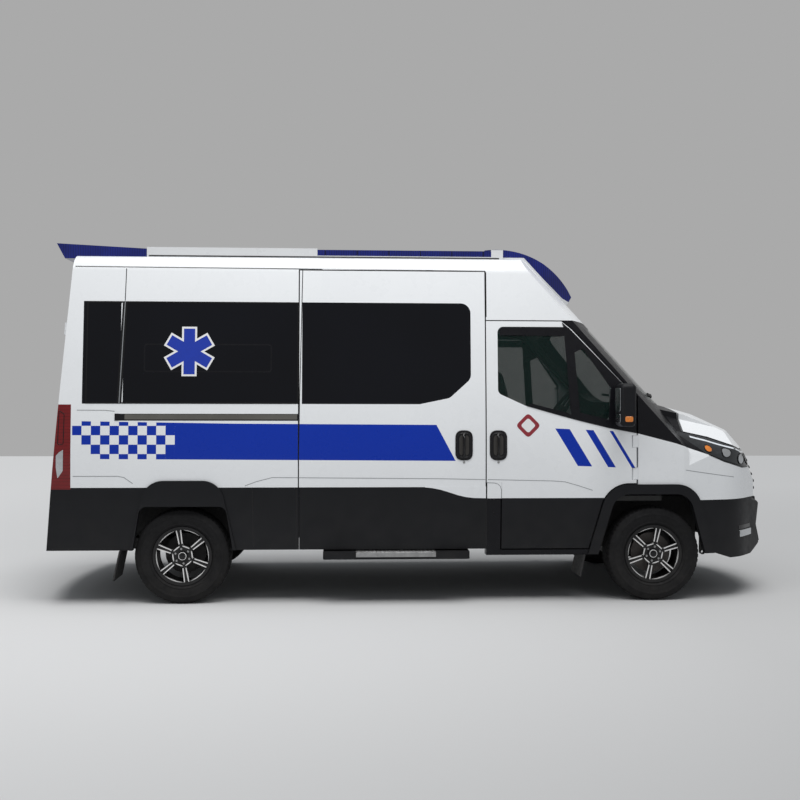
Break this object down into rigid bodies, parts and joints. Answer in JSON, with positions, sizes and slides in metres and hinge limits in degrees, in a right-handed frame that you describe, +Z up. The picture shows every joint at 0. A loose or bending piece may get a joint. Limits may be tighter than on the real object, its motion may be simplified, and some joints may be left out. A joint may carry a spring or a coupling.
{
  "type": "ambulance",
  "caption": "High-roof van ambulance with opening front and rear doors and bonnet, steered and rolling wheels, hollow cab and load space, roof lamps and side step.",
  "frame": {"origin": "on the ground under the middle of the vehicle's bounding box", "axes": "+X forwards, +Y to the vehicle's left, +Z up"},
  "size_m": [5.658, 2.49, 2.6719],
  "materials": {
    "white_paint": "gloss",
    "roof_white": "gloss",
    "black_plastic": "grained",
    "grille_black": "gloss",
    "frame_black": "satin",
    "dark_glass": "gloss",
    "clear_glass": "gloss",
    "lamp_clear": "gloss",
    "lamp_red": "gloss",
    "lamp_blue": "gloss",
    "tyre": "matt",
    "alloy": "painted, satin",
    "rubber": "matt",
    "chassis_steel": "satin",
    "knuckle_iron": "rough",
    "engine_iron": "rough",
    "floor_vinyl": "matt",
    "partition_grey": "satin",
    "dash_plastic": "grained",
    "seat_cloth": "woven"
  },
  "bodies": {
    "root": {"blue_lamps": "lamp_blue", "cab_frame": "frame_black", "cab_seats": "seat_cloth", "chassis": "chassis_steel", "cross_members": "chassis_steel", "dashboard": "dash_plastic", "engine": "engine_iron", "floor": "floor_vinyl", "front_axle": "chassis_steel", "front_bumper": "black_plastic", "front_wings": "white_paint", "grille": "grille_black", "headlamps": "lamp_clear", "mud_flaps": "rubber", "partition": "partition_grey", "rear_axle": "chassis_steel", "rear_bumper": "black_plastic", "roof": "white_paint", "roof_rails": "roof_white", "side_cladding": "black_plastic", "side_step": "black_plastic", "side_wall_left": "white_paint", "side_wall_right": "white_paint", "side_windows": "dark_glass", "sliding_door": "white_paint", "steering_wheel": "dash_plastic", "tail_lamps": "lamp_red", "underbody": "chassis_steel", "windscreen": "clear_glass"},
    "front_door_right": {"front_door_right": "white_paint", "front_door_cladding_right": "black_plastic", "front_door_glass_right": "clear_glass", "mirror_right": "black_plastic"},
    "front_door_left": {"front_door_left": "white_paint", "front_door_cladding_left": "black_plastic", "front_door_glass_left": "clear_glass", "mirror_left": "black_plastic"},
    "rear_door_right": {"rear_door_right": "white_paint", "rear_door_glass_right": "dark_glass"},
    "rear_door_left": {"rear_door_left": "white_paint", "rear_door_glass_left": "dark_glass"},
    "bonnet": {"bonnet": "white_paint"},
    "steer_right": {"knuckle_right": "knuckle_iron"},
    "steer_left": {"knuckle_left": "knuckle_iron"},
    "wheel_front_right": {"rim_front_right": "alloy", "tyre_front_right": "tyre"},
    "wheel_front_left": {"rim_front_left": "alloy", "tyre_front_left": "tyre"},
    "wheel_rear_right": {"rim_rear_right": "alloy", "tyre_rear_right": "tyre"},
    "wheel_rear_left": {"rim_rear_left": "alloy", "tyre_rear_left": "tyre"}
  },
  "joints": [
    {"name": "front_door_right_hinge", "type": "hinge", "parent": "root", "child": "front_door_right", "pos_m": [1.614, -0.9836, 1.09], "axis": [0, 0, 1], "range_deg": [0, 70]},
    {"name": "front_door_left_hinge", "type": "hinge", "parent": "root", "child": "front_door_left", "pos_m": [1.614, 0.9836, 1.09], "axis": [0, 0, -1], "range_deg": [0, 70]},
    {"name": "rear_door_right_hinge", "type": "hinge", "parent": "root", "child": "rear_door_right", "pos_m": [-2.68038, -0.8725, 1.18], "axis": [0.0809, 0, 0.9967], "range_deg": [0, 180]},
    {"name": "rear_door_left_hinge", "type": "hinge", "parent": "root", "child": "rear_door_left", "pos_m": [-2.68038, 0.8725, 1.18], "axis": [-0.0809, 0, -0.9967], "range_deg": [0, 180]},
    {"name": "bonnet_hinge", "type": "hinge", "parent": "root", "child": "bonnet", "pos_m": [2.055, 0, 1.442], "axis": [0, -1, 0], "range_deg": [0, 50]},
    {"name": "steer_right_pivot", "type": "hinge", "parent": "root", "child": "steer_right", "pos_m": [1.775, -0.815, 0.352], "axis": [0, 0, 1], "range_deg": [-32, 32]},
    {"name": "steer_left_pivot", "type": "hinge", "parent": "root", "child": "steer_left", "pos_m": [1.775, 0.815, 0.352], "axis": [0, 0, 1], "range_deg": [-32, 32]},
    {"name": "wheel_front_right_spin", "type": "hinge", "parent": "steer_right", "child": "wheel_front_right", "pos_m": [1.775, -0.86, 0.352], "axis": [0, 1, 0], "continuous": true},
    {"name": "wheel_front_left_spin", "type": "hinge", "parent": "steer_left", "child": "wheel_front_left", "pos_m": [1.775, 0.86, 0.352], "axis": [0, 1, 0], "continuous": true},
    {"name": "wheel_rear_right_spin", "type": "hinge", "parent": "root", "child": "wheel_rear_right", "pos_m": [-1.745, -0.86, 0.352], "axis": [0, 1, 0], "continuous": true},
    {"name": "wheel_rear_left_spin", "type": "hinge", "parent": "root", "child": "wheel_rear_left", "pos_m": [-1.745, 0.86, 0.352], "axis": [0, 1, 0], "continuous": true}
  ],
  "couplings": [
    {"joint": "steer_left_pivot", "follows": "steer_right_pivot", "ratio": 1}
  ]
}
